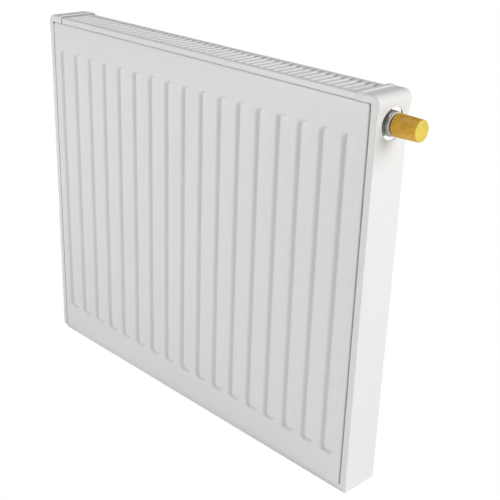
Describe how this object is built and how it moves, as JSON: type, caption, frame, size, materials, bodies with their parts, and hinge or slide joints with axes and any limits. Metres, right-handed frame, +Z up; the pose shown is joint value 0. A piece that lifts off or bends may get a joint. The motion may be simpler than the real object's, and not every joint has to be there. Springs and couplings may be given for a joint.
{
  "type": "panel radiator with built-in valve",
  "caption": "White wall-hung panel radiator with fluted front, slotted top grille, end covers and a built-in side valve under a yellow protective cap.",
  "frame": {"origin": "on the wall plane, at the middle of the radiator's bottom edge", "axes": "+X to the right seen from the front, towards the valve; -Y out of the wall towards the room; +Z up"},
  "size_m": [0.6408, 0.06, 0.503],
  "materials": {
    "white_enamel": "semi-gloss stoved enamel",
    "primed_steel": "thin matt primer coat",
    "steel": "zinc-plated, turned",
    "spring_steel": "bright wire and strip",
    "nickel": "satin nickel plate over brass",
    "brass": "turned",
    "rubber": "matt",
    "yellow_plastic": "moulded, fine grain",
    "white_plastic": "moulded"
  },
  "bodies": {
    "root": {"front_panel_sheet": "white_enamel", "rear_panel_sheet": "white_enamel", "convector_fins": "primed_steel", "top_grille": "white_enamel", "right_end_cover": "white_enamel", "left_end_cover": "white_enamel", "cover_clip_right_upper": "spring_steel", "cover_clip_right_lower": "spring_steel", "cover_clip_left_upper": "spring_steel", "cover_clip_left_lower": "spring_steel", "wall_lug_right_upper": "white_enamel", "wall_lug_right_lower": "white_enamel", "wall_lug_left_upper": "white_enamel", "wall_lug_left_lower": "white_enamel", "grille_clip_left": "spring_steel", "grille_clip_middle": "spring_steel", "grille_clip_right": "spring_steel", "connection_upper_left": "white_enamel", "connection_lower_left": "white_enamel", "connection_lower_right": "white_enamel", "blind_plug_lower_left": "nickel", "plug_seal_lower_left": "rubber", "blind_plug_lower_right": "nickel", "plug_seal_lower_right": "rubber", "vent_plug": "nickel", "vent_plug_seal": "rubber", "valve_housing": "steel", "valve_insert": "nickel", "insert_seal": "rubber", "return_spring": "spring_steel", "gland_nut": "brass", "supply_pipe": "white_enamel", "return_nipple": "nickel", "supply_nipple": "nickel"},
    "valve_stem": {"valve_stem": "steel", "valve_disc": "rubber"},
    "protective_cap": {"protective_cap": "yellow_plastic"},
    "preset_ring": {"preset_ring": "white_plastic"},
    "vent_seal": {"vent_seal": "rubber"},
    "vent_screw": {"vent_screw": "brass"},
    "vent_spout": {"vent_spout": "white_plastic"}
  },
  "joints": [
    {"name": "stem_travel", "type": "slide", "parent": "root", "child": "valve_stem", "axis": [1, 0, 0], "range_m": [-0.0018, 0], "deforming": ["return_spring"]},
    {"name": "cap_screw", "type": "hinge", "parent": "valve_stem", "child": "protective_cap", "pos_m": [0.323, -0.0305, 0.468], "axis": [1, 0, 0], "range_deg": [-433, 0]},
    {"name": "preset_turn", "type": "hinge", "parent": "root", "child": "preset_ring", "pos_m": [0.3038, -0.0305, 0.468], "axis": [1, 0, 0], "range_deg": [-270, 0]},
    {"name": "vent_travel", "type": "slide", "parent": "root", "child": "vent_seal", "axis": [-1, 0, 0], "range_m": [0, 0.0015]},
    {"name": "vent_screw_turn", "type": "hinge", "parent": "vent_seal", "child": "vent_screw", "pos_m": [-0.29, -0.0305, 0.468], "axis": [-1, 0, 0], "range_deg": [0, 541]},
    {"name": "vent_spout_turn", "type": "hinge", "parent": "root", "child": "vent_spout", "pos_m": [-0.2935, -0.0305, 0.468], "axis": [-1, 0, 0], "continuous": true}
  ],
  "couplings": [
    {"joint": "cap_screw", "follows": "stem_travel", "rad_per_m": 4188.8},
    {"joint": "vent_screw_turn", "follows": "vent_travel", "rad_per_m": 6283.2}
  ]
}
